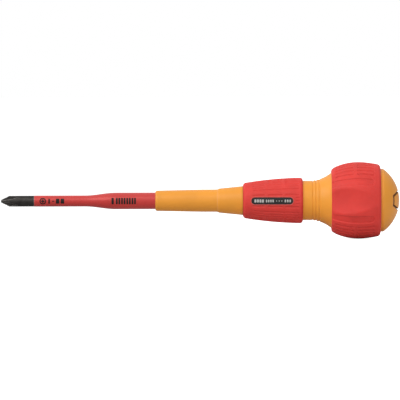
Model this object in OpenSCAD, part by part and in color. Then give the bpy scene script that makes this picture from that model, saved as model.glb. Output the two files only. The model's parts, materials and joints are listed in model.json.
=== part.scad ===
// Insulated ball-grip screwdriver, cross-head size 1.
// The tool's axis is the X axis: the point is at the origin and the handle runs towards +X.
// The label panel faces -Y. Everything is in millimetres.

/* [Blade] */
// Diameter of the steel blade
blade_d = 5; // [4.8:0.1:5.2]
// From the point to the front of the handle body
blade_reach = 99.5; // [96:0.5:110]
// Bare steel at the point
bare_length = 15.3; // [12:0.1:18]
// Diameter of the flat end of the point
point_d = 1.2; // [1:0.1:1.5]
// Angle between the point's flank and the axis
flank_angle = 26.5; // [24:0.5:29]
// Diameter of the blade where the slim sheath covers it
core_d = 3.5; // [3.2:0.1:3.8]

/* [Sheath] */
// Outside diameter of the slim front stretch
slim_d = 5.1; // [5:0.05:5.3]
// Outside diameter of the full stretch
full_d = 7.64; // [7.4:0.02:7.8]
// Where the slim stretch begins to widen
taper_start = 38.5; // [37:0.5:41]
// Where the full diameter is reached
taper_end = 53; // [50:0.5:55]
// Thickness of the contrasting inner layer
inner_layer = 0.35; // [0.3:0.05:0.4]

/* [Nose sleeve] */
// Length of sleeve in front of the handle body
nose_length = 28.5; // [26:0.5:32]
// Diameter near the front of the sleeve
nose_front_d = 9.36; // [9.2:0.02:9.5]
// Diameter where the sleeve enters the handle body
nose_rear_d = 10.28; // [10.2:0.02:10.4]

/* [Handle] */
// From the front of the handle body to the butt
handle_length = 83.7; // [83.5:0.1:84.5]
// Diameter at the front of the handle body
body_front_d = 11.2; // [11:0.1:11.4]
// Diameter of the neck between the two grips
neck_d = 18.1; // [17.9:0.1:18.3]
// Length of the front grip
front_grip_length = 27.6; // [27:0.1:28]
// Largest diameter of the front grip
front_grip_d = 21; // [20.8:0.1:21.2]
// Largest diameter of the ball grip
ball_d = 35.4; // [35.2:0.1:36]
// Radius of the domed butt
dome_r = 17.8; // [17.7:0.1:17.9]

/* [Label and badge] */
// Length of the label plate
label_length = 19.3; // [17:0.1:19.5]
// Height of the label plate
label_height = 3.36; // [3:0.02:3.6]
// Length of the badge on the butt
badge_length = 18.2; // [16:0.2:19]
// Height of the badge on the butt
badge_height = 7.7; // [7.5:0.1:9]

/* [Hidden] */
$fn = 96;

steel_grey = [0.22, 0.21, 0.20];
sheath_red = [0.80, 0.16, 0.14];
layer_cream = [0.95, 0.88, 0.55];
body_amber = [0.96, 0.62, 0.16];
core_grey = [0.35, 0.35, 0.36];
grip_red = [0.86, 0.20, 0.18];
label_black = [0.10, 0.09, 0.09];

// Stations along the axis
flank_length = (blade_d - point_d) / 2 / tan(flank_angle);
nose_start = blade_reach - nose_length;
body_start = blade_reach;
sheath_stop = body_start + 8.5;
grip_start = body_start + 11.7;
grip_stop = grip_start + front_grip_length;
blade_stop = body_start + 50.5;
flare_start = grip_stop + 2.8;
ball_start = body_start + 52.4;
ball_middle = body_start + 64.7;
ball_stop = body_start + 75;
butt = body_start + handle_length;
dome_centre = butt - dome_r;

// Radii
blade_r = blade_d / 2;
core_r = core_d / 2;
full_r = full_d / 2;
slim_r = slim_d / 2;
hold_r = 3.5;
spigot_r = 4.5;
neck_r = neck_d / 2;
ball_r = ball_d / 2;
flare_r = 16.1;
seat_front_r = 6.65;
seat_rear_r = 8.6;
cap_rim_r = 14.45;
core_mid_r = 5.6;
core_bulb_r = 9;

// Stations of the handle core
core_step = body_start + 16.5;
bulb_start = body_start + 54.5;
bulb_stop = body_start + 68.5;

// Front grip: the crown of its long arc lies just behind the grip
grip_arc_r = 167;
grip_crown = grip_stop + 1.3;

// Ball grip: one arc in front of the middle and a flatter one behind it
ball_front_arc = 25.5;
ball_rear_arc = 36;

// Grooves of both grips: the pattern repeats in each sector
sectors = 3;
sector_angle = 360 / sectors;
rib_pitch = 8;
front_groove_depth = 0.25;
front_groove_angle = 3.2;
front_clear_r = 12;
ball_groove_depth = 0.45;
ball_groove_angle = 2;
ball_clear_r = 20;
ball_channel_angle = 12;
ball_channel_centre = 30;
ball_channel_stop = body_start + 72;
ball_groove_runs = [[2, 10.1], [11.7, 19.5]];

// Thumb scallops of the ball grip: a tube of radius scallop_r bent along an arc
scallop_r = 24;
scallop_path_r = 64;
scallop_high = body_start + 72.7;
scallop_floor_r = 16.8;

// Neck rings
ring_first = body_start + 43.9;
ring_pitch = 1.5;
ring_count = 3;
ring_r = 0.42;
ring_proud = 0.12;

// Rear end of the blade, and the wings that lock it in the handle core
blade_chamfer = 0.8;
wing_length = 8;
wing_span = 8.4;
wing_thickness = 1.8;

// Keys that lock the soft grips on the body and the core in it, halfway between the grips' panels
key_angles = [60:120:300];
key_width = 22;
key_height = 0.5;
core_key_width = 30;
core_key_height = 0.8;

// The seats under the two grips
seat_bend = grip_start + 14.3;
seat_bend_r = seat_rear_r - 0.35;
seat_ball_r = 15.4;
seat_floor_r = 13;
overlap = 1;

// Points on an arc about [cx, cr]: a is measured from the +r direction towards +x
function arc(cx, cr, r, a0, a1, n) =
    [for (i = [0:n]) let (a = a0 + (a1 - a0) * i / n) [cx + r * sin(a), cr + r * cos(a)]];

// Smooth step from 0 to 1
function ease(t) = (1 - cos(180 * t)) / 2;

// Profiles are lists of [x, r]; turned() revolves one about the X axis
module turned(profile, angle = 360, start = 0) {
    lay() rotate([0, 0, start]) rotate_extrude(angle = angle)
        polygon([for (p = profile) [p[1], p[0]]]);
}

// Lays a shape that was made along Z on the X axis
module lay() {
    rotate([0, 90, 0]) children();
}

// A wedge of a revolved band, centred on an angle that runs from -Y towards +Z
module wedge(profile, centre, width) {
    turned(profile, width, -90 - centre - width / 2);
}

// Turns what faces -Y to an angle that runs from -Y towards +Z
module facing(angle) {
    rotate([-angle, 0, 0]) children();
}

// Flat capsule outline, length along x
module capsule(length, height) {
    straight = (length - height) / 2;
    square([2 * straight, height], center = true);
    for (side = [-1, 1])
        translate([side * straight, 0]) circle(d = height);
}

// ---------- blade ----------

module flute() {
    cutter_r = 20;
    cutter_edge = 6;
    half_angle = 43;
    bottom_r = 0.5;
    half_width = cutter_edge * tan(half_angle);
    translate([-1, -(bottom_r + cutter_r), 0]) rotate_extrude()
        polygon([[0, -half_width], [cutter_r - cutter_edge, -half_width], [cutter_r, 0],
                 [cutter_r - cutter_edge, half_width], [0, half_width]]);
}

module wings() {
    for (x = [body_start + 20.5, body_start + 36.5])
        intersection() {
            translate([x, -wing_span / 2, -wing_thickness / 2])
                cube([wing_length, wing_span, wing_thickness]);
            turned([[x, 0], [x, blade_r], [x + 2, wing_span / 2], [x + wing_length - 2, wing_span / 2],
                    [x + wing_length, blade_r], [x + wing_length, 0]]);
        }
}

module blade() {
    color(steel_grey) union() {
        difference() {
            turned([[0, 0], [0, point_d / 2], [flank_length, blade_r], [bare_length, blade_r],
                    [bare_length, core_r], [taper_start + 3, core_r], [taper_end - 3, blade_r],
                    [blade_stop - blade_chamfer, blade_r], [blade_stop, blade_r - blade_chamfer],
                    [blade_stop, 0]]);
            for (a = [45:90:315])
                facing(a) flute();
        }
        wings();
    }
}

// ---------- sheath ----------

// Outside of the sheath; the nose sleeve grips the stretch that is necked down to hold_r
function sheath_line() = concat(
    [[bare_length, slim_r]],
    [for (i = [0:12]) let (t = i / 12)
        [taper_start + (taper_end - taper_start) * t, slim_r + (full_r - slim_r) * ease(t)]],
    [[nose_start, full_r], [nose_start, hold_r], [sheath_stop, hold_r]]);

function core_line() = [[sheath_stop, blade_r], [taper_end - 3, blade_r], [taper_start + 3, core_r],
                        [bare_length, core_r]];

// The inner layer is even in the slim stretch and fills up to the outer layer behind it
function layer_line() = [[bare_length, core_r + inner_layer], [taper_start + 2, core_r + inner_layer],
                         [taper_end - 2, blade_r + 1.3 * inner_layer],
                         [sheath_stop, blade_r + 1.3 * inner_layer]];

function reversed(list) = [for (i = [len(list) - 1:-1:0]) list[i]];

module sheath_inner() {
    color(layer_cream) turned(concat(layer_line(), core_line()));
}

module sheath_outer() {
    color(sheath_red) turned(concat(sheath_line(), reversed(layer_line())));
}

// ---------- nose sleeve ----------

module nose_sleeve() {
    lip = 0.9;
    color(body_amber) turned(concat(
        [[nose_start, hold_r]],
        arc(nose_start + lip, nose_front_d / 2 - lip, lip, -90, 0, 6),
        [[body_start - 7, nose_rear_d / 2 - 0.02], [body_start, nose_rear_d / 2],
         [body_start, spigot_r], [sheath_stop, spigot_r], [sheath_stop, hold_r]]));
}

// ---------- handle core ----------

module core_keys() {
    for (a = key_angles)
        wedge([[core_step + 3, core_mid_r - overlap], [core_step + 3, core_mid_r + core_key_height],
               [bulb_start, core_mid_r + core_key_height], [bulb_start, core_mid_r - overlap]],
              a, core_key_width);
}

// Outside of the core between a front and a rear station
function core_outside(front, rear) = [
    [front, 0], [front, spigot_r], [core_step, spigot_r], [core_step + 1.5, core_mid_r],
    [bulb_start - 3, core_mid_r], [bulb_start, core_bulb_r], [rear, core_bulb_r], [rear, 0]];

module handle_core() {
    color(core_grey) difference() {
        union() {
            turned(core_outside(sheath_stop, bulb_stop));
            core_keys();
        }
        turned([[sheath_stop - overlap, 0], [sheath_stop - overlap, blade_r],
                [blade_stop - blade_chamfer, blade_r], [blade_stop, blade_r - blade_chamfer],
                [blade_stop, 0]]);
        wings();
    }
}

// ---------- handle body ----------

function flare(x) = neck_r + flare_r - sqrt(flare_r * flare_r - (x - flare_start) * (x - flare_start));

// Where the ball grip lies on the body
function ball_seat() = [for (i = [0:10]) let (
        t = i / 10,
        x = ball_start + (ball_stop - ball_start) * t,
        ends = flare(ball_start) * (1 - t) + cap_rim_r * t)
    [x, ends + (seat_ball_r - (flare(ball_start) + cap_rim_r) / 2) * sin(180 * t)]];

// Where the front grip lies on the body
function front_seat() = [[grip_start, seat_front_r], [seat_bend, seat_bend_r], [grip_stop, seat_rear_r]];

function body_line() = concat(
    [[body_start, nose_rear_d / 2], [body_start + 0.8, body_front_d / 2]],
    front_seat(),
    [[grip_stop, neck_r]],
    [for (i = [0:8]) let (x = flare_start + (ball_start - flare_start) * i / 8) [x, flare(x)]],
    ball_seat());

module front_keys() {
    start = grip_start + 8;
    stop = grip_stop - 5;
    for (a = key_angles)
        wedge([[start, seat_front_r], [start, seat_bend_r + key_height], [stop, seat_rear_r + key_height],
               [stop, seat_front_r]], a, key_width);
}

module ball_keys() {
    start = ball_start + 6;
    stop = ball_stop - 6;
    for (a = key_angles)
        wedge([[start, seat_floor_r], [start, seat_ball_r + key_height], [stop, seat_ball_r + key_height],
               [stop, seat_floor_r]], a, key_width);
}

module handle_body() {
    // The bore holds the tail of the nose sleeve, the core and the plug of the end cap
    color(body_amber) difference() {
        union() {
            turned(concat([[body_start, 0]], body_line(), [[ball_stop, 0]]));
            front_keys();
            ball_keys();
        }
        turned(core_outside(body_start - overlap, ball_stop + overlap));
        core_keys();
        for (i = [0:ring_count - 1])
            let (x = ring_first + i * ring_pitch)
                lay() rotate_extrude() translate([flare(x) + ring_proud, x]) circle(r = ring_r);
    }
}

// ---------- front grip and label ----------

grip_lip = 1.5;
grip_rear_lip = 1.2;
grip_foot = 0.2;

// Outer line of the front grip between two stations, moved in by depth
function grip_line(x0, x1, depth, n) = [for (i = [0:n]) let (
        x = x0 + (x1 - x0) * i / n,
        d = x - grip_crown,
        r = grip_arc_r - depth)
    [x, front_grip_d / 2 - grip_arc_r + sqrt(r * r - d * d)]];

function grip_outline() = concat(
    [[grip_start, seat_front_r - grip_foot]],
    arc(grip_start + grip_lip, grip_line(grip_start + grip_lip, grip_stop, 0, 1)[0][1] - grip_lip,
        grip_lip, -90, -8, 6),
    grip_line(grip_start + grip_lip + 0.4, grip_stop - grip_rear_lip, 0, 10),
    arc(grip_stop - grip_rear_lip, front_grip_d / 2 - grip_rear_lip - 0.05, grip_rear_lip, 8, 90, 5),
    [[grip_stop, seat_rear_r - grip_foot]]);

// Short, dashed and long grooves, measured from the grip's front: [from, to]
full_run = [[5.1, 25.9]];
dashes = [[4.5, 10.1], [11.5, 18.2], [19.5, 25.7]];
tick = [[24.3, 26.1]];
// [row number from the panel's centre, its grooves]
groove_rows = [[0, tick], [1, tick], [2, dashes], [4, full_run], [5, dashes], [6, dashes], [7, dashes]];

module front_groove(runs, angle) {
    for (run = runs)
        wedge(concat(grip_line(grip_start + run[0], grip_start + run[1], front_groove_depth, 3),
                     [[grip_start + run[1], front_clear_r], [grip_start + run[0], front_clear_r]]),
              angle, front_groove_angle);
}

module front_grooves() {
    for (sector = [0:sectors - 1], row = groove_rows, side = [-1, 1])
        if (row[0] > 0 || side > 0)
            front_groove(row[1], sector * sector_angle + side * row[0] * rib_pitch);
}

label_x = grip_start + 13.5;
label_depth = 1;
label_sunk = 0.12;

module label_column(length, height) {
    translate([label_x, 0, 0]) rotate([90, 0, 0]) linear_extrude(height = front_clear_r)
        capsule(length, height);
}

module front_grip() {
    color(grip_red) difference() {
        turned(grip_outline());
        turned(concat([[grip_start - overlap, 0], [grip_start - overlap, seat_front_r]], front_seat(),
                      [[grip_stop + overlap, seat_rear_r], [grip_stop + overlap, 0]]));
        front_keys();
        difference() {
            label_column(label_length, label_height);
            turned(concat([[grip_start, 0]], grip_line(grip_start, grip_stop, label_depth, 10),
                          [[grip_stop, 0]]));
        }
        front_grooves();
    }
}

module label_plate() {
    color(label_black) intersection() {
        label_column(label_length, label_height);
        turned(concat(grip_line(grip_start + 1, grip_stop - 1, label_sunk, 10),
                      reversed(grip_line(grip_start + 1, grip_stop - 1, label_depth, 10))));
    }
}

// ---------- ball grip ----------

ball_lip = 1.5;
ball_rear_lip = 1.7;
ball_lead = 0.35;

// Outer line of the ball grip between two stations, moved in by depth
function ball_height(x, depth) = let (
        big = x < ball_middle ? ball_front_arc : ball_rear_arc,
        r = big - depth,
        d = x - ball_middle)
    ball_r - big + sqrt(r * r - d * d);

function ball_line(x0, x1, depth, n) =
    [for (i = [0:n]) let (x = x0 + (x1 - x0) * i / n) [x, ball_height(x, depth)]];

function ball_outline() = concat(
    [[ball_start, flare(ball_start) - grip_foot]],
    arc(ball_start + ball_lip, ball_height(ball_start + ball_lip, 0) - ball_lip - ball_lead, ball_lip,
        -90, -32, 4),
    ball_line(ball_start + 1.3, ball_middle, 0, 9),
    ball_line(ball_middle + 1.2, ball_stop - ball_rear_lip, 0, 6),
    arc(ball_stop - ball_rear_lip, ball_height(ball_stop - ball_rear_lip, 0) - ball_rear_lip, ball_rear_lip,
        18, 90, 5),
    [[ball_stop, cap_rim_r - grip_foot]]);

module scallop() {
    translate([scallop_high, scallop_path_r - scallop_floor_r, 0])
        rotate_extrude() translate([scallop_path_r + scallop_r, 0]) circle(r = scallop_r);
}

module ball_groove(x0, x1, centre, width, n) {
    wedge(concat(ball_line(x0, x1, ball_groove_depth, n), [[x1, ball_clear_r], [x0, ball_clear_r]]),
          centre, width);
}

module ball_grooves() {
    for (sector = [0:sectors - 1]) {
        for (side = [-1, 1])
            ball_groove(ball_start - overlap, ball_channel_stop,
                        sector * sector_angle + side * ball_channel_centre, ball_channel_angle, 8);
        for (i = [-2:2], run = ball_groove_runs)
            ball_groove(ball_start + run[0], ball_start + run[1],
                        (sector + 0.5) * sector_angle + i * rib_pitch, ball_groove_angle, 4);
    }
}

module ball_grip() {
    color(grip_red) difference() {
        turned(ball_outline());
        turned(concat([[ball_start - overlap, 0], [ball_start - overlap, flare(ball_start)]], ball_seat(),
                      [[ball_stop + overlap, cap_rim_r], [ball_stop + overlap, 0]]));
        ball_keys();
        ball_grooves();
        for (sector = [0:sectors - 1])
            facing(sector * sector_angle) scallop();
    }
}

// ---------- end cap and badge ----------

badge_gap = 0.7;
badge_depth = 1.2;
badge_side_r = 22;

// Barrel outline: two long arcs and square ends, seen from behind the butt, grown all round
module badge_column(grow) {
    translate([dome_centre, 0, 0]) lay() linear_extrude(height = dome_r + 5) intersection() {
        square([badge_height + 2 * grow, badge_length + 2 * grow], center = true);
        translate([badge_side_r - badge_height / 2, 0]) circle(r = badge_side_r + grow);
        translate([badge_height / 2 - badge_side_r, 0]) circle(r = badge_side_r + grow);
    }
}

module end_cap() {
    color(body_amber) difference() {
        union() {
            lay() rotate_extrude() intersection() {
                translate([0, dome_centre]) circle(r = dome_r);
                translate([0, ball_stop]) square([cap_rim_r, handle_length]);
            }
            turned([[bulb_stop, 0], [bulb_stop, core_bulb_r], [ball_stop, core_bulb_r], [ball_stop, 0]]);
        }
        difference() {
            badge_column(badge_gap);
            translate([dome_centre, 0, 0]) sphere(r = dome_r - badge_depth);
        }
    }
}

module end_badge() {
    color(body_amber) intersection() {
        badge_column(0);
        difference() {
            translate([dome_centre, 0, 0]) sphere(r = dome_r);
            translate([dome_centre, 0, 0]) sphere(r = dome_r - badge_depth);
        }
    }
}

blade();
sheath_inner();
sheath_outer();
nose_sleeve();
handle_core();
handle_body();
front_grip();
label_plate();
ball_grip();
end_cap();
end_badge();
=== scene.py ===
"""Looks of the ball-grip screwdriver: soft grips, printed marks, materials, stage, lights and camera."""
import json
import math

import bpy
import numpy as np
from mathutils import Matrix, Vector


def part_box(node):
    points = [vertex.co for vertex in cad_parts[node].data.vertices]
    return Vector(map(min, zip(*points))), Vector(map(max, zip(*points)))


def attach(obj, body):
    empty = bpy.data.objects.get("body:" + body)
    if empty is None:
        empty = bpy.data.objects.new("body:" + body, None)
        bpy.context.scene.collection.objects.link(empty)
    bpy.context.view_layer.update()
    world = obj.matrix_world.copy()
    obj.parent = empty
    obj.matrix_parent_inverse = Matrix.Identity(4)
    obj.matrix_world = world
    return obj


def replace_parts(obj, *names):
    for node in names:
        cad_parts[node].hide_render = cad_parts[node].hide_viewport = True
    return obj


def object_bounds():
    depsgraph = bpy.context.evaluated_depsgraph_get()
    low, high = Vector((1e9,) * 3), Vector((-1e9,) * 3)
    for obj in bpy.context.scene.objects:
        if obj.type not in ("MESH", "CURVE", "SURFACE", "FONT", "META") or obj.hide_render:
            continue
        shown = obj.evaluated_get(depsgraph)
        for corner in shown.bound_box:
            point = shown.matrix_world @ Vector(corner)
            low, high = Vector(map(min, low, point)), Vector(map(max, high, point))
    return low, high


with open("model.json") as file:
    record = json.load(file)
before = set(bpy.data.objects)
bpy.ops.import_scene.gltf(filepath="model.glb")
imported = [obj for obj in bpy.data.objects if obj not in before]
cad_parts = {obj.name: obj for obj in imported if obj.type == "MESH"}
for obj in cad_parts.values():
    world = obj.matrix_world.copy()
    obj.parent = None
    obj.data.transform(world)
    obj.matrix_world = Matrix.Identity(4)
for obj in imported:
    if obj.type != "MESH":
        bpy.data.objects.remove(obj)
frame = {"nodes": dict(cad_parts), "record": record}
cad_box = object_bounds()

MM = 0.001

# ---------------------------------------------------------------- places, taken from the frame (mm)


def stations(node):
    """Where a CAD node starts and stops along the tool's axis."""
    low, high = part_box(node)
    return low.x / MM, high.x / MM


sheath_front = stations("sheath_outer")[0]
nose_front = stations("nose_sleeve")[0]
body_front = stations("handle_body")[0]
grip_front, grip_back = stations("front_grip")
ball_front, ball_back = stations("ball_grip")
label_low, label_high = (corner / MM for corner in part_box("label_plate"))

# Sheath
slim_r = 2.55
full_r = 3.82

# Nose sleeve: it widens evenly up to nose_straight in front of the body and swells a little at the body
nose_front_r = 4.68
nose_rear_r = 5.14
nose_lip = 0.9
nose_straight = 7
nose_widening = 0.02
nose_swell = 0.06
nose_swell_length = 0.6
nose_bore_start = nose_front + 1
tail_length = 8.5
tail_r = 4.4
bore_r = 3.4

# Handle body outside: a short cone, the seats of the grips and the neck between them
body_front_r = 5.6
body_cone = 0.8
cone_round_r = 1.1
cone_round_at = body_front + body_cone + 0.3
cone_round_start = -28
cone_round_stop = -6
neck_r = 9.05
flare_start = grip_back + 2.8
flare_r = 16.1
ring_first = body_front + 43.9
ring_pitch = 1.5
ring_count = 3
ring_depth = 0.3
ring_half_width = 0.3

# Handle body under the grips: how far its finished surface runs under them, and how deep the rest lies.
# The shoulder's points are (x behind the front grip's front, r above its seat).
shoulder = ((0.3, 0.04), (1.2, 0.05))
under_grip = 1.0
under_grip_depth = 0.3
neck_under_grips = 0.6
under_ball = 1.2
under_ball_depth = 0.2

# Handle body inside
spigot_r = 4.5
core_step = body_front + 16.5
core_step_length = 1.5
core_r = 5.5
bulb_start = body_front + 54.5
bulb_cone = 3
bulb_r = 8.9

# Front grip: the crown of its long arc lies just behind the grip. A lip is round up to its tilt from the
# long arc (degrees), a foot is its flat part, and a gap parts its centre from the long arc's first point.
grip_r = 10.5
grip_arc_r = 167
grip_crown = grip_back + 1.3
grip_front_lip = 1.8
grip_front_tilt = 6
grip_front_foot = 0.4
grip_front_gap = 0.25
grip_rear_lip = 1.3
grip_rear_tilt = 4
grip_rear_foot = 0.25
grip_seat_front_r = 6.65
grip_seat_rear_r = 8.6

# Ball grip: one arc in front of its middle and a flatter one behind it
ball_r = 17.7
ball_middle = body_front + 64.7
ball_front_arc = 25.5
ball_rear_arc = 36
ball_front_lip = 1.5
ball_front_tilt = 34
ball_front_foot = 0.3
ball_front_gap = 0.4
ball_rear_lip = 1.8
ball_rear_tilt = 14
ball_lead = 0.35
ball_seat_r = 15.4
cap_rim_r = 14.45

# Both grips: the long arc stops this far in front of the rear lip's centre
rear_gap = 0.1

# Thumb scallop: a tube of radius scallop_r bent along an arc, at most scallop_reach degrees to each side
scallop_r = 24
scallop_path_r = 64
scallop_high = body_front + 72.7
scallop_floor_r = 16.8
scallop_reach = 50
scallop_edge_blend = 0.35
no_scallop = -5

# The grips' pattern repeats every sector, and its ribs every rib_pitch (degrees)
sector = 120
rib_pitch = 8

# Soft parts bite this far into what they sit on
bite = 0.1

# Spacing of points along the tool: on the grips, on the neck and under the ball grip
grip_step = 0.16
ball_step = 0.155
neck_step = 0.12
seat_step = 1.5

# Spacing of points around the grips (degrees): finer beside the label plate
label_reach = 15
label_turn = 0.4
grip_turn = 0.75
ball_turn = 0.6

# ---------------------------------------------------------------- grooves of the grips (mm)

# Front grip: rows counted from the panel's middle, each with its depth and its runs from the front
DASHES = ((4.5, 10.1), (11.5, 18.2), (19.5, 25.7))
TICK = ((24.3, 26.1),)
FRONT_ROWS = {
    0: (0.22, TICK),
    1: (0.22, TICK),
    2: (0.28, DASHES),
    4: (0.26, ((5.1, 25.9),)),
    5: (0.2, DASHES),
    6: (0.2, DASHES),
    7: (0.2, DASHES),
}
FRONT_GROOVE_WIDTH = 0.7
FRONT_GROOVE_SOFT = 0.45
LABEL_DEPTH = 0.6
LABEL_SOFT = 0.1

# Ball grip: five rows of short grooves between two wide channels
BALL_RUNS = ((2.0, 10.1), (11.7, 19.5))
BALL_GROOVE_WIDTH = 0.85
BALL_GROOVE_DEPTH = 0.45
CHANNEL_AT = 30
CHANNEL_ANGLE = 12
CHANNEL_STOP = 19.6
CHANNEL_CORNER = 1.6
CHANNEL_DEPTH = 0.42
BALL_SOFT = 0.42
HALF_GROOVE_ROWS = 2.5

# ---------------------------------------------------------------- curves and soft shapes


def grip_height(x):
    """Radius of the front grip's plain outer line."""
    return grip_r - grip_arc_r + np.sqrt(grip_arc_r ** 2 - (x - grip_crown) ** 2)


def grip_seat(x):
    """Radius at which the front grip sits on the body, a little inside it."""
    return np.interp(x, [grip_front, grip_back], [grip_seat_front_r, grip_seat_rear_r]) - bite


def ball_height(x):
    """Radius of the ball grip's plain outer line."""
    arc_r = np.where(x < ball_middle, ball_front_arc, ball_rear_arc)
    return ball_r - arc_r + np.sqrt(arc_r ** 2 - (x - ball_middle) ** 2)


def flare(x):
    """Radius of the neck and of the flare behind it."""
    past = np.clip(x - flare_start, 0, None)
    return neck_r + flare_r - np.sqrt(flare_r ** 2 - past ** 2)


def ball_seat(x):
    """Radius at which the ball grip sits on the body, a little inside it."""
    front_r = float(flare(ball_front))
    t = (x - ball_front) / (ball_back - ball_front)
    bulge = ball_seat_r - (front_r + cap_rim_r) / 2
    return front_r * (1 - t) + cap_rim_r * t + bulge * np.sin(np.pi * t) - bite


def smooth(low, high, value):
    """Smooth step from 0 at low to 1 at high; low may be above high."""
    t = np.clip((value - low) / (high - low), 0, 1)
    return t * t * (3 - 2 * t)


def slot(x, across, start, stop, width, depth, soft, corner=None):
    """Depth of a slot with rounded corners; its walls slope over a width of soft."""
    corner = width / 2 if corner is None else corner
    along = np.abs(x - (start + stop) / 2) - ((stop - start) / 2 - corner)
    beside = np.abs(across) - (width / 2 - corner)
    past_corner = np.hypot(np.maximum(along, 0), np.maximum(beside, 0))
    outside = past_corner + np.minimum(np.maximum(along, beside), 0) - corner
    return depth * smooth(soft / 2, -soft / 2, outside)


def folded(angle, period):
    """Angle from the nearest multiple of period, in degrees."""
    return (angle + period / 2) % period - period / 2


def soft_max(a, b, blend):
    """The larger of a and b, rounded where they meet over a height of blend."""
    near = np.maximum(blend - np.abs(a - b), 0) / blend
    return np.maximum(a, b) + near * near * blend / 4


def arc(middle_x, middle_r, radius, start, stop, steps):
    """Points on a profile's arc; angles run from +r towards +x, in degrees."""
    turn = np.radians(np.linspace(start, stop, steps + 1))
    return [(middle_x + radius * math.sin(a), middle_r + radius * math.cos(a)) for a in turn]


def spaced(start, stop, step):
    """Evenly spaced places from start to stop, about step apart."""
    return np.linspace(start, stop, max(2, round((stop - start) / step) + 1))


# ---------------------------------------------------------------- depth of the grips' patterns


def front_pattern(x, angle):
    """How far the front grip's grooves and label recess go into its plain outer line."""
    length = x - grip_front
    row = np.abs(np.round(folded(angle, sector) / rib_pitch))
    across = np.radians(folded(angle, rib_pitch)) * grip_height(x)
    depth = np.zeros_like(x)
    for number, (row_depth, runs) in FRONT_ROWS.items():
        for start, stop in runs:
            groove = slot(length, across, start, stop, FRONT_GROOVE_WIDTH, row_depth, FRONT_GROOVE_SOFT)
            depth = np.where(row == number, np.maximum(depth, groove), depth)
    beside = np.radians(folded(angle, 360)) * grip_height(x)
    height = label_high.z - label_low.z
    label = slot(x, beside, label_low.x, label_high.x, height, LABEL_DEPTH, LABEL_SOFT)
    return np.maximum(depth, label)


def ball_pattern(x, angle):
    """How far the ball grip's scallops, channels and grooves go into its plain outer line."""
    length = x - ball_front
    turn = folded(angle, sector)
    radius = ball_height(x)
    depth = np.zeros_like(x)
    for side in (-1, 1):
        across = np.radians(turn - side * CHANNEL_AT) * radius
        width = math.radians(CHANNEL_ANGLE) * radius
        channel = slot(length, across, -CHANNEL_STOP, CHANNEL_STOP, width, CHANNEL_DEPTH, BALL_SOFT,
                       CHANNEL_CORNER)
        depth = np.maximum(depth, channel)
    between = folded(angle - sector / 2, sector)
    groove_row = np.abs(between) < HALF_GROOVE_ROWS * rib_pitch
    across = np.radians(folded(between, rib_pitch)) * radius
    for start, stop in BALL_RUNS:
        groove = slot(length, across, start, stop, BALL_GROOVE_WIDTH, BALL_GROOVE_DEPTH, BALL_SOFT)
        depth = np.where(groove_row, np.maximum(depth, groove), depth)
    return np.maximum(soft_max(depth, scallop_depth(x, turn, radius), scallop_edge_blend), 0)


def scallop_depth(x, turn, radius):
    """How far the thumb scallop goes into the ball; negative beside it."""
    turn = np.radians(turn)
    floor_r = scallop_floor_r + np.sqrt(scallop_path_r ** 2 - (x - scallop_high) ** 2) - scallop_path_r
    tube = floor_r + scallop_r
    under = scallop_r ** 2 - (tube * np.sin(turn)) ** 2
    depth = radius - (tube * np.cos(turn) - np.sqrt(np.clip(under, 0, None)))
    return np.where((under > 0) & (np.abs(turn) < math.radians(scallop_reach)), depth, no_scallop)


# ---------------------------------------------------------------- meshes


def to_world(x, radius, angle):
    """Points in metres; the angle runs from -Y towards +Z, in degrees."""
    turn = np.radians(angle)
    return np.stack([x, -radius * np.cos(turn), radius * np.sin(turn)], axis=-1) * MM


def mesh_object(name, points, faces, material, smooth_angle=180):
    """A piece that rides on the tool; edges sharper than smooth_angle stay sharp."""
    mesh = bpy.data.meshes.new(name)
    mesh.from_pydata(points.reshape(-1, 3).tolist(), [], faces)
    mesh.materials.append(material)
    mesh.update()
    mesh.shade_smooth()
    mesh.set_sharp_from_angle(angle=math.radians(smooth_angle))
    piece = bpy.data.objects.new(name, mesh)
    bpy.context.scene.collection.objects.link(piece)
    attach(piece, "root")
    return piece


def ring_faces(rows, columns):
    """Quads of a grid that closes on itself both ways."""
    faces = []
    for i in range(rows):
        k = (i + 1) % rows
        for j in range(columns):
            m = (j + 1) % columns
            faces.append((i * columns + j, k * columns + j, k * columns + m, i * columns + m))
    return faces


def lathe(name, profile, material, columns=144, smooth_angle=40):
    """A closed ring turned from a closed profile of (x, r) points, with nothing on the axis."""
    x, radius = np.array(profile, float).T[:, :, None] * np.ones(columns)
    angle = np.broadcast_to(np.arange(columns) * 360 / columns, x.shape)
    faces = ring_faces(len(profile), columns)
    return mesh_object(name, to_world(x, radius, angle), faces, material, smooth_angle)


def sleeve(name, outer, height, seat, pattern, angles, material, seat_points=12):
    """A soft sleeve: an outer profile of (x, r) points whose surface sinks by pattern, closed by its seat."""
    outer = np.array(outer, float)
    inner_x = np.linspace(outer[-1, 0], outer[0, 0], seat_points + 2)[1:-1]
    inner = np.stack([inner_x, seat(inner_x)], axis=1)
    section = np.concatenate([outer, inner])
    x, angle = np.meshgrid(section[:, 0], angles, indexing="ij")
    radius = np.repeat(section[:, 1:], len(angles), axis=1)
    low = seat(x)
    share = np.clip((radius - low) / (height(x) - low), 0, 1)
    points = to_world(x, radius - share * pattern(x, angle), angle)
    return mesh_object(name, points, ring_faces(len(section), len(angles)), material)


def crown(height, start, stop, step):
    """Points on a grip's long outer line between its two lips."""
    return [(x, height(x)) for x in spaced(start, stop, step)]


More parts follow.
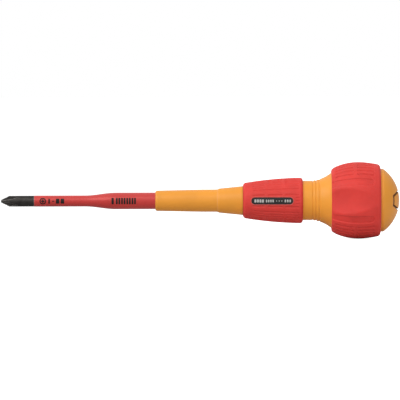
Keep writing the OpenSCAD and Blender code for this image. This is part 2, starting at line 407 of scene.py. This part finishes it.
def front_grip_outline():
    """Outer profile of the front grip, from the foot of its front lip to the foot of its rear lip."""
    first = grip_front + grip_front_lip
    last = grip_back - grip_rear_lip
    face = [(grip_front, grip_seat_front_r - bite), (grip_front, grip_seat_front_r + grip_front_foot)]
    front = arc(first, grip_height(first) - grip_front_lip, grip_front_lip, -90, -grip_front_tilt, steps=12)
    middle = crown(grip_height, first + grip_front_gap, last - rear_gap, grip_step)
    back = arc(last, grip_height(last) - grip_rear_lip, grip_rear_lip, grip_rear_tilt, 90, steps=10)
    foot = [(grip_back, grip_seat_rear_r + grip_rear_foot), (grip_back, grip_seat_rear_r - bite)]
    return face + front + middle + back + foot


def ball_grip_outline():
    """Outer profile of the ball grip, from the foot of its front lip to the cap's rim."""
    first = ball_front + ball_front_lip
    last = ball_back - ball_rear_lip
    foot_r = float(flare(ball_front))
    lip_r = ball_height(first) - ball_front_lip - ball_lead
    face = [(ball_front, foot_r - bite), (ball_front, foot_r + ball_front_foot)]
    front = arc(first, lip_r, ball_front_lip, -90, -ball_front_tilt, steps=9)
    middle = crown(ball_height, first + ball_front_gap, last - rear_gap, ball_step)
    back = arc(last, ball_height(last) - ball_rear_lip, ball_rear_lip, ball_rear_tilt, 90, steps=10)
    return face + front + middle + back + [(ball_back, cap_rim_r - bite)]


# ---------------------------------------------------------------- printed marks


class Print:
    """Thin closed patches that lie on the tool's surface, joined into one piece."""

    SINK = 0.05
    BAR_COLUMNS = 13
    ROW_LENGTH = 0.4
    RING_ROWS = 48
    RING_COLUMNS = 3

    def __init__(self, surface, lift=0.03):
        self.surface = surface
        self.heights = (lift, -self.SINK)
        self.points = []
        self.faces = []

    def add(self, x, across, closed):
        """x and across are grids of places; closed says that the rows join up in a ring."""
        rows, columns = x.shape
        start = sum(len(layer) for layer in self.points)
        radius = self.surface(x)
        for height in self.heights:
            layer = to_world(x, radius + height, np.degrees(across / radius))
            self.points.append(layer.reshape(-1, 3))

        def top(i, j):
            return start + (i % rows) * columns + j

        def low(i, j):
            return top(i, j) + rows * columns

        for i in range(rows if closed else rows - 1):
            for j in range(columns - 1):
                self.faces.append((top(i, j), top(i + 1, j), top(i + 1, j + 1), top(i, j + 1)))
                self.faces.append((low(i, j + 1), low(i + 1, j + 1), low(i + 1, j), low(i, j)))
            for j, order in ((0, 1), (columns - 1, -1)):
                self.faces.append((top(i, j), low(i, j), low(i + 1, j), top(i + 1, j))[::order])
        if not closed:
            for i, order in ((0, -1), (rows - 1, 1)):
                for j in range(columns - 1):
                    self.faces.append((top(i, j), low(i, j), low(i, j + 1), top(i, j + 1))[::order])

    def bar(self, x, across, length, height, corner=0.1):
        """A bar with rounded corners around (x, across)."""
        v = np.linspace(-1, 1, self.BAR_COLUMNS) * height / 2
        past = np.clip(np.abs(v) - (height / 2 - corner), 0, corner)
        half = length / 2 - corner + np.sqrt(corner ** 2 - past ** 2)
        u = np.linspace(-1, 1, max(3, round(length / self.ROW_LENGTH)))
        self.add(x + u[:, None] * half, across + np.broadcast_to(v, (len(u), len(v))), False)

    def bars(self, x, pitch, count, length, height, corner=0.1):
        """A row of equal bars along the axis."""
        for number in range(count):
            self.bar(x + number * pitch, 0, length, height, corner)

    def ring(self, x, across, radius, width):
        """A flat ring around (x, across)."""
        turn = np.linspace(0, 2 * np.pi, self.RING_ROWS, endpoint=False)[:, None]
        r = np.linspace(radius - width / 2, radius + width / 2, self.RING_COLUMNS)
        self.add(x + r * np.cos(turn), across + r * np.sin(turn), True)

    def finish(self, name, material):
        """Makes the piece from all patches."""
        return mesh_object(name, np.concatenate(self.points), self.faces, material, 40)


def size_print(material):
    """Ringed cross and size bars on the slim sheath."""
    mark = Print(lambda x: np.full_like(x, slim_r))
    x = sheath_front + 4.0
    line = 0.5
    arm = 0.6
    tall = 2.3
    mark.ring(x, 0, radius=1.28, width=line)
    mark.bar(x, 0, length=1.6, height=arm, corner=0.08)
    for side in (-1, 1):
        mark.bar(x, side * arm, length=arm, height=line, corner=0.08)
    mark.bar(x + 2.9, 0, length=0.75, height=tall)
    mark.bar(x + 4.8, 0, length=0.95, height=0.42)
    mark.bars(x + 6.8, pitch=2.2, count=2, length=1.6, height=tall)
    mark.finish("size_print", material)


def rating_print(material):
    """Single and paired bars on the full-diameter sheath."""
    mark = Print(lambda x: np.full_like(x, full_r))
    x = sheath_front + 36.1
    tall = 3.0
    first_pair = x + 2.5
    half_pair = 0.58
    mark.bar(x, 0, length=1.0, height=tall)
    for side in (-1, 1):
        mark.bars(first_pair + side * half_pair, pitch=2.4, count=4, length=0.8, height=tall)
    mark.finish("rating_print", material)


def label_print(material):
    """Plain light bars and dots on the label plate."""
    label_sunk = 0.12
    tall = 1.2
    dot = 0.45
    mark = Print(lambda x: grip_height(x) - label_sunk, lift=0.02)
    x = label_low.x
    mark.bars(x + 1.9, pitch=1.15, count=4, length=0.85, height=1.4, corner=0.2)
    mark.bars(x + 7.0, pitch=1.0, count=4, length=0.6, height=tall)
    mark.bars(x + 11.6, pitch=1.2, count=3, length=dot, height=dot, corner=0.15)
    mark.bars(x + 15.6, pitch=1.1, count=3, length=0.65, height=tall)
    mark.finish("label_print", material)


def rim_path(outset, end_steps=24, side_steps=40):
    """Places (x, across) on the label plate's outline, moved out by outset."""
    half_h = (label_high.z - label_low.z) / 2
    half_l = (label_high.x - label_low.x) / 2 - half_h
    half_h += outset
    middle = (label_low.x + label_high.x) / 2
    path = []
    for side in (1, -1):
        for a in np.radians(np.linspace(-90, 90, end_steps + 1)):
            path.append((middle + side * (half_l + half_h * math.cos(a)), side * half_h * math.sin(a)))
        for step in np.linspace(1, -1, side_steps + 1)[1:-1]:
            path.append((middle + side * step * half_l, side * half_h))
    return np.array(path).T


def label_rim(material):
    """A fine bead of the grip's own rubber around the label plate."""
    bead = 0.17
    sides = 12
    x, across = rim_path(outset=0.7 * bead)
    radius = grip_height(x)
    angle = across / radius
    centre = np.stack([x, -radius * np.cos(angle), radius * np.sin(angle)], axis=1)
    normal = np.stack([np.zeros_like(x), -np.cos(angle), np.sin(angle)], axis=1)
    along = np.roll(centre, -1, axis=0) - np.roll(centre, 1, axis=0)
    along /= np.linalg.norm(along, axis=1)[:, None]
    beside = np.cross(along, normal)
    turn = np.radians(np.arange(sides) * 360 / sides)[:, None]
    rounds = np.cos(turn) * beside[:, None] + np.sin(turn) * normal[:, None]
    points = (centre[:, None] + bead * rounds) * MM
    mesh_object("label_rim", points, ring_faces(len(x), sides), material)


# ---------------------------------------------------------------- materials

PROBE_SAMPLES = 6
SHARP_ANGLE = 28

# Share of a colour that is left where painted shade darkens a seam and where it darkens a hollow
SEAM_SHADE = 0.1
HOLLOW_SHADE = 0.45

# Colours (linear)
SHEATH_RED = (0.50, 0.035, 0.031)
SHEATH_SHEEN = (1, 0.42, 0.40, 1)
GRIP_RED = (0.635, 0.043, 0.034)
AMBER = (0.77, 0.300, 0.027)
SIGNAL_YELLOW = (0.80, 0.70, 0.32)
CORE_GREY = (0.10, 0.10, 0.11)
LABEL_BLACK = (0.012, 0.011, 0.010)
OXIDE_DARK = (0.034, 0.031, 0.029)
OXIDE_LIGHT = (0.056, 0.052, 0.048)
# Steel's convex edges: partly worn bare steel, partly painted glints
WORN_STEEL_AND_GLINT = (0.38, 0.37, 0.35)
DARK_INK = (0.014, 0.009, 0.008)
LIGHT_INK = (0.42, 0.41, 0.39)
RUBBED = (0.78, 0.66, 0.60)
# Painted shadow in the groove around the butt's badge
GROOVE_SHADOW_BROWN = (0.24, 0.090, 0.022)

# Noise values that most of a noise lies between: fine grain and soft clouds
GRAIN_SPAN = (0.3, 0.7)
CLOUD_SPAN = (0.35, 0.65)


class Nodes:
    """A material's node tree, built from top to bottom around one Principled shader."""

    def __init__(self, name):
        self.material = bpy.data.materials.new(name)
        self.material.use_nodes = True
        self.tree = self.material.node_tree
        self.shader = self.tree.nodes["Principled BSDF"]
        self.place = self.add("ShaderNodeTexCoord").outputs["Object"]

    def add(self, kind, **settings):
        """A new node of a kind, with its settings."""
        node = self.tree.nodes.new(kind)
        for key, value in settings.items():
            setattr(node, key, value)
        return node

    def link(self, source, target):
        """Joins an output socket to an input socket."""
        self.tree.links.new(source, target)

    def feed(self, name, source):
        """Drives one of the shader's own inputs."""
        self.link(source, self.shader.inputs[name])

    def set(self, **sockets):
        """Sets constants on the shader's own inputs."""
        for name, value in sockets.items():
            self.shader.inputs[name.replace("_", " ")].default_value = value

    def noise(self, scale, detail=4, stretch=(1, 1, 1)):
        """Noise in metres: scale is the number of features in a metre."""
        mapping = self.add("ShaderNodeMapping")
        mapping.inputs["Scale"].default_value = stretch
        self.link(self.place, mapping.inputs["Vector"])
        noise = self.add("ShaderNodeTexNoise")
        noise.inputs["Scale"].default_value = scale
        noise.inputs["Detail"].default_value = detail
        self.link(mapping.outputs["Vector"], noise.inputs["Vector"])
        return noise.outputs["Fac"]

    def ranged(self, value, span, to_low, to_high):
        """A value that goes from to_low to to_high as its source crosses the span, and stops there."""
        node = self.add("ShaderNodeMapRange")
        for name, number in zip(("From Min", "From Max", "To Min", "To Max"), (*span, to_low, to_high)):
            node.inputs[name].default_value = number
        self.link(value, node.inputs["Value"])
        return node.outputs["Result"]

    def mixed(self, share, first, second):
        """Colour between first and second, each a colour or a socket."""
        node = self.add("ShaderNodeMix", data_type="RGBA")
        for name, value in (("A", first), ("B", second)):
            socket = next(s for s in node.inputs if s.name == name and s.type == "RGBA")
            if isinstance(value, tuple):
                socket.default_value = (*value, 1)
            else:
                self.link(value, socket)
        self.link(share, node.inputs["Factor"])
        return next(s for s in node.outputs if s.type == "RGBA")

    def clouded(self, colour, darkest=0.95, brightest=1.04, scale=90, detail=3):
        """A colour that drifts softly between two factors of itself."""
        clouds = self.ranged(self.noise(scale, detail), CLOUD_SPAN, 0, 1)
        return self.mixed(clouds, shade(colour, darkest), shade(colour, brightest))

    def openness(self, reach, inside, alone):
        """1 where the piece has nothing within reach mm of its surface, outside or inside it."""
        probe = self.add("ShaderNodeAmbientOcclusion", samples=PROBE_SAMPLES, inside=inside, only_local=alone)
        probe.inputs["Distance"].default_value = reach * MM
        return probe.outputs["AO"]

    def edges(self, most, reach=0.3, span=(0.95, 0.5)):
        """0 on open ground, rising to most on convex edges."""
        return self.ranged(self.openness(reach, True, True), span, 0, most)

    def hollows(self, reach, span, most, alone):
        """0 on ground more open than the span, rising to most past its other end."""
        return self.ranged(self.openness(reach, False, alone), span, 0, most)

    def vector_length(self, vector, scale):
        """Length of a vector after its three parts are scaled."""
        scaled = self.add("ShaderNodeVectorMath", operation="MULTIPLY")
        self.link(vector, scaled.inputs[0])
        scaled.inputs[1].default_value = scale
        length = self.add("ShaderNodeVectorMath", operation="LENGTH")
        self.link(scaled.outputs["Vector"], length.inputs[0])
        return length.outputs["Value"]

    def combined(self, operation, first, second):
        """Two values put together by a Math node's operation."""
        node = self.add("ShaderNodeMath", operation=operation)
        self.link(first, node.inputs[0])
        self.link(second, node.inputs[1])
        return node.outputs["Value"]

    def butt_groove_shadow(self):
        """Mask of the painted shadow in the groove around the badge, near the axis: 1 on its walls, in its
        depth and over its rims.
        """
        normal = self.add("ShaderNodeNewGeometry").outputs["True Normal"]
        walls = self.ranged(self.vector_length(normal, (1, 0, 0)), (0.35, 0.15), 0, 1)
        depth = self.hollows(reach=1.3, span=(0.62, 0.42), most=1, alone=False)
        rims = self.edges(most=1, reach=0.4, span=(0.9, 0.6))
        near_axis = self.ranged(self.vector_length(self.place, (0, 1, 1)), (12 * MM, 11 * MM), 0, 1)
        inside = self.combined("MAXIMUM", walls, depth)
        return self.combined("MULTIPLY", near_axis, self.combined("MAXIMUM", inside, rims))

    def bumps(self, *layers):
        """Layers of bump, each a height socket and its full height in mm."""
        normal = None
        for height, distance in layers:
            bump = self.add("ShaderNodeBump")
            bump.inputs["Strength"].default_value = 1
            bump.inputs["Distance"].default_value = distance * MM
            self.link(height, bump.inputs["Height"])
            if normal is not None:
                self.link(normal, bump.inputs["Normal"])
            normal = bump.outputs["Normal"]
        self.feed("Normal", normal)


def shade(colour, factor):
    """A darker or brighter copy of a colour."""
    return tuple(channel * factor for channel in colour)


def moulded(name, colour, roughness, grain, rub=0.15, groove=False):
    """Moulded plastic: faint clouding, fine grain, painted shade in the seams and paler rubbed edges; with
    groove, also a painted shadow in the badge's groove.
    """
    m = Nodes(name)
    base = m.mixed(m.edges(most=rub), m.clouded(colour), RUBBED)
    # Painted shade: seams that the occlusion probe finds between parts are darkened
    seam_shade = m.hollows(reach=0.35, span=(0.8, 0.2), most=0.25, alone=False)
    base = m.mixed(seam_shade, base, shade(colour, SEAM_SHADE))
    if groove:
        # Painted shadow: the badge groove's walls, depth and rims are coloured dark brown
        base = m.mixed(m.butt_groove_shadow(), base, GROOVE_SHADOW_BROWN)
    m.feed("Base Color", base)
    fine = m.noise(grain, detail=3)
    m.feed("Roughness", m.ranged(fine, GRAIN_SPAN, roughness * 0.85, roughness * 1.15))
    m.bumps((fine, 0.006), (m.noise(160, detail=2), 0.01))
    m.set(IOR=1.5, Specular_IOR_Level=0.35)
    return m.material


def extruded(name, colour, sheen):
    """Extruded plastic: lengthwise streaks and a tinted gloss."""
    m = Nodes(name)
    m.feed("Base Color", m.mixed(m.edges(most=0.1), m.clouded(colour), RUBBED))
    streaks = m.noise(900, detail=3, stretch=(0.06, 1, 1))
    m.feed("Roughness", m.ranged(streaks, GRAIN_SPAN, 0.25, 0.35))
    m.bumps((streaks, 0.003), (m.noise(160, detail=2), 0.01))
    m.set(IOR=1.5, Specular_IOR_Level=1, Specular_Tint=sheen)
    return m.material


def rubber(name, colour):
    """Soft elastomer: a matte sandy grain, painted shade in the hollows and rubbed rib edges."""
    m = Nodes(name)
    clouds = m.clouded(colour, darkest=0.94, brightest=1.05, scale=120, detail=4)
    base = m.mixed(m.edges(most=0.12), clouds, RUBBED)
    # Painted shade: hollows that the occlusion probe finds are darkened
    hollow_shade = m.hollows(reach=0.6, span=(0.9, 0.3), most=0.6, alone=True)
    m.feed("Base Color", m.mixed(hollow_shade, base, shade(colour, HOLLOW_SHADE)))
    m.feed("Roughness", m.ranged(m.noise(700, detail=3), GRAIN_SPAN, 0.52, 0.66))
    m.bumps((m.noise(3600, detail=2), 0.02), (m.noise(300, detail=2), 0.015))
    m.set(IOR=1.45, Specular_IOR_Level=0.3)
    m.set(Subsurface_Weight=0.15, Subsurface_Scale=3 * MM, Subsurface_Radius=(1, 0.45, 0.25))
    return m.material


def black_steel(name):
    """Black-oxide steel with a fine sandblasted grain; its convex edges, mostly at the point, are painted
    bright, partly as worn bare steel and partly as painted glints.
    """
    m = Nodes(name)
    clouds = m.ranged(m.noise(400, detail=5), GRAIN_SPAN, 0, 1)
    base = m.mixed(clouds, OXIDE_DARK, OXIDE_LIGHT)
    # Convex edges paler: partly worn bare steel, partly painted glints
    m.feed("Base Color", m.mixed(m.edges(most=0.7), base, WORN_STEEL_AND_GLINT))
    m.feed("Roughness", m.ranged(m.noise(1500, detail=4), GRAIN_SPAN, 0.40, 0.54))
    m.bumps((m.noise(4200, detail=3), 0.006), (m.noise(900, detail=3, stretch=(0.15, 1, 1)), 0.006))
    m.set(Metallic=0.9)
    return m.material


def ink(name, colour):
    """Pad-printed ink, slightly uneven in tone and gloss."""
    m = Nodes(name)
    spots = m.ranged(m.noise(2600, detail=4), GRAIN_SPAN, 0, 1)
    m.feed("Base Color", m.mixed(spots, shade(colour, 0.8), shade(colour, 1.25)))
    m.feed("Roughness", m.ranged(m.noise(900, detail=2), GRAIN_SPAN, 0.5, 0.66))
    m.bumps((m.noise(5000, detail=2), 0.004))
    m.set(Specular_IOR_Level=0.2)
    return m.material


materials = {
    "black_steel": black_steel("black_oxide_steel"),
    "signal_layer": moulded("signal_layer_plastic", SIGNAL_YELLOW, roughness=0.5, grain=1800),
    "sheath_red": extruded("sheath_red_plastic", SHEATH_RED, SHEATH_SHEEN),
    "body_amber": moulded("body_amber_plastic", AMBER, roughness=0.40, grain=1500),
    "core_grey": moulded("core_grey_plastic", CORE_GREY, roughness=0.55, grain=1500),
    "grip_red": rubber("grip_red_elastomer", GRIP_RED),
    "label_black": moulded("label_black_plastic", LABEL_BLACK, roughness=0.5, grain=2500, rub=0.03),
}
# Amber of the butt, with a painted shadow in the badge groove
butt_amber = moulded("butt_amber_plastic", AMBER, roughness=0.40, grain=1500, groove=True)
dark_ink = ink("dark_ink", DARK_INK)
light_ink = ink("light_ink", LIGHT_INK)

for row in frame["record"]["subparts"]:
    node = frame["nodes"][row["node"]]
    on_butt = row["node"] in ("end_cap", "end_badge")
    node.data.materials.clear()
    node.data.materials.append(butt_amber if on_butt else materials[row["material_slot"]])
    node.data.shade_smooth()
    node.data.set_sharp_from_angle(angle=math.radians(SHARP_ANGLE))

# ---------------------------------------------------------------- pieces


def turned_amber(name, profile, node):
    """A turned piece of the handle's amber plastic that stands for a CAD node."""
    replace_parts(lathe(name, profile, materials["body_amber"]), node)


def make_nose_sleeve():
    """Rounded front lip, straight barrel that swells at the body, and a tail inside it."""
    stop = body_front + bite / 2
    tail_stop = body_front + tail_length
    front = arc(nose_front + nose_lip, nose_front_r - nose_lip, nose_lip, -90, 0, steps=12)
    back = [(body_front - nose_straight, nose_rear_r - nose_widening),
            (body_front - nose_swell_length, nose_rear_r), (stop, nose_rear_r + nose_swell), (stop, tail_r)]
    tail = [(tail_stop, tail_r), (tail_stop, bore_r), (nose_bore_start, bore_r)]
    profile = [(nose_front, full_r - bite)] + front + back + tail
    turned_amber("nose_sleeve_moulded", profile, "nose_sleeve")


def neck_line(x):
    """Radius of the neck and flare with their ring grooves."""
    rings = (ring_first + i * ring_pitch for i in range(ring_count))
    return flare(x) - ring_depth * sum(np.exp(-((x - ring) / ring_half_width) ** 2) for ring in rings)


def make_handle_body():
    """Front cone, neck with its rings and flare; under the grips it lies a little below their seats."""
    stop = ball_back - under_ball_depth
    front = [(body_front, nose_rear_r - bite), (body_front + bite / 2, nose_rear_r + nose_swell)]
    front += arc(cone_round_at, body_front_r - cone_round_r, cone_round_r, cone_round_start,
                 cone_round_stop, steps=4)
    front += [(grip_front + behind, grip_seat_front_r + above) for behind, above in shoulder]
    seat = [(grip_back - under_grip, grip_seat_rear_r - under_grip_depth)]
    neck_places = spaced(grip_back - neck_under_grips, ball_front + neck_under_grips, neck_step)
    neck = [(x, float(neck_line(x))) for x in neck_places]
    seat_places = spaced(ball_front + under_ball, stop, seat_step)
    rear_seat = [(x, float(ball_seat(x)) - under_ball_depth) for x in seat_places]
    wide_bore = [(stop, bulb_r), (bulb_start, bulb_r), (bulb_start - bulb_cone, core_r)]
    front_bore = [(core_step + core_step_length, core_r), (core_step, spigot_r), (body_front, spigot_r)]
    profile = front + seat + neck + rear_seat + wide_bore + front_bore
    turned_amber("handle_body_moulded", profile, "handle_body")


def make_front_grip():
    """Ribbed front grip, with finer columns beside the label plate, and the bead around the plate."""
    beside_label = spaced(-label_reach, label_reach, label_turn)
    elsewhere = np.arange(label_reach + grip_turn, 360 - label_reach - grip_turn / 2, grip_turn)
    angles = np.concatenate([beside_label, elsewhere])
    piece = sleeve("front_grip_soft", front_grip_outline(), grip_height, grip_seat, front_pattern, angles,
                   materials["grip_red"])
    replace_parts(piece, "front_grip")
    label_rim(materials["grip_red"])


def make_ball_grip():
    """Ball grip with its scallops, channels and grooves."""
    angles = np.arange(0, 360, ball_turn)
    piece = sleeve("ball_grip_soft", ball_grip_outline(), ball_height, ball_seat, ball_pattern, angles,
                   materials["grip_red"])
    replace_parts(piece, "ball_grip")


make_nose_sleeve()
make_handle_body()
make_front_grip()
make_ball_grip()
size_print(dark_ink)
rating_print(dark_ink)
label_print(light_ink)

# ---------------------------------------------------------------- stage, lights and camera

# Floor (metres): its tone goes from dim at the point to bright at the butt, under a glow that cameras see
FLOOR_SIZE = 30
FLOOR_GAP = 0.0002
FLOOR_DIM = (0.34, 0.34, 0.34)
FLOOR_BRIGHT = (0.70, 0.70, 0.70)
FLOOR_GLOW = 0.84

# Light from all around: dimmest away from LIT_FROM and brightest towards it
LIT_FROM = (-0.85, -0.45, 0.5)
LIT_SPAN = (-0.8, 0.5)
DIMMEST = 0.50
BRIGHTEST = 0.98

# Key light (metres, watts)
TOOL_MIDDLE = (0.09, 0, 0)
KEY_PLACE = (-0.5, -0.65, 0.70)
KEY_SIZE = (1.2, 0.8)
KEY_POWER = 7

# Camera (mm, degrees)
VIEW_MIDDLE = (91.54, 0, 0.32)
VIEW_WIDTH = 184
VIEW_ELEVATION = 1.3
VIEW_ROLL = -0.15
LENS = 500
SENSOR = 36


def make_floor():
    """A pale floor that the camera sees as nearly white, with the tool's shadow on it."""
    middle = TOOL_MIDDLE[0]
    bpy.ops.mesh.primitive_plane_add(size=FLOOR_SIZE, location=(middle, 0, cad_box[0].z - FLOOR_GAP))
    floor = bpy.context.object
    floor.name = "floor"
    m = Nodes("pale_floor")
    along = m.add("ShaderNodeSeparateXYZ")
    m.link(m.place, along.inputs["Vector"])
    share = m.ranged(along.outputs["X"], (-middle, middle), 0, 1)
    m.feed("Base Color", m.mixed(share, FLOOR_DIM, FLOOR_BRIGHT))
    m.set(Roughness=0.9)
    seen = m.add("ShaderNodeLightPath").outputs["Is Camera Ray"]
    glow = m.add("ShaderNodeEmission")
    m.link(m.ranged(seen, (0, 1), 0, FLOOR_GLOW), glow.inputs["Strength"])
    both = m.add("ShaderNodeAddShader")
    m.link(m.shader.outputs["BSDF"], both.inputs[0])
    m.link(glow.outputs["Emission"], both.inputs[1])
    m.link(both.outputs["Shader"], m.tree.nodes["Material Output"].inputs["Surface"])
    floor.data.materials.append(m.material)


def make_world():
    """A white surround to look at; what lights the tool is brightest above, in front and to the left."""
    world = bpy.data.worlds.new("studio")
    bpy.context.scene.world = world
    world.use_nodes = True
    nodes = world.node_tree.nodes
    link = world.node_tree.links.new
    nodes.clear()
    facing = nodes.new("ShaderNodeVectorMath")
    facing.operation = "DOT_PRODUCT"
    facing.inputs[1].default_value = Vector(LIT_FROM).normalized()
    link(nodes.new("ShaderNodeTexCoord").outputs["Generated"], facing.inputs[0])
    ramp = nodes.new("ShaderNodeMapRange")
    for name, number in zip(("From Min", "From Max", "To Min", "To Max"), (*LIT_SPAN, DIMMEST, BRIGHTEST)):
        ramp.inputs[name].default_value = number
    link(facing.outputs["Value"], ramp.inputs["Value"])
    light = nodes.new("ShaderNodeBackground")
    link(ramp.outputs["Result"], light.inputs["Strength"])
    white = nodes.new("ShaderNodeBackground")
    for background in (light, white):
        background.inputs["Color"].default_value = (1, 1, 1, 1)
    mix = nodes.new("ShaderNodeMixShader")
    link(nodes.new("ShaderNodeLightPath").outputs["Is Camera Ray"], mix.inputs["Fac"])
    link(light.outputs["Background"], mix.inputs[1])
    link(white.outputs["Background"], mix.inputs[2])
    link(mix.outputs["Shader"], nodes.new("ShaderNodeOutputWorld").inputs["Surface"])


def make_key_light():
    """A large softbox above, in front and to the left."""
    light = bpy.data.lights.new("key_light", "AREA")
    light.shape = "RECTANGLE"
    light.size, light.size_y = KEY_SIZE
    light.energy = KEY_POWER
    lamp = bpy.data.objects.new("key_light", light)
    bpy.context.scene.collection.objects.link(lamp)
    lamp.location = KEY_PLACE
    lamp.rotation_euler = (Vector(TOOL_MIDDLE) - lamp.location).to_track_quat("-Z", "Y").to_euler()


def make_camera():
    """A long lens, almost level with the tool and square to its axis."""
    elevation = math.radians(VIEW_ELEVATION)
    camera = bpy.data.cameras.new("camera")
    camera.lens = LENS
    camera.sensor_width = SENSOR
    camera.clip_start = 0.05
    camera.clip_end = 40
    holder = bpy.data.objects.new("camera", camera)
    bpy.context.scene.collection.objects.link(holder)
    back = Vector((0, -math.cos(elevation), math.sin(elevation)))
    distance = LENS / SENSOR * VIEW_WIDTH
    holder.location = (Vector(VIEW_MIDDLE) + back * distance) * MM
    holder.rotation_mode = "QUATERNION"
    roll = Matrix.Rotation(math.radians(VIEW_ROLL), 3, "Z").to_quaternion()
    holder.rotation_quaternion = (-back).to_track_quat("-Z", "Y") @ roll
    bpy.context.scene.camera = holder


make_floor()
make_world()
make_key_light()
make_camera()
bpy.context.scene.view_settings.view_transform = "Standard"
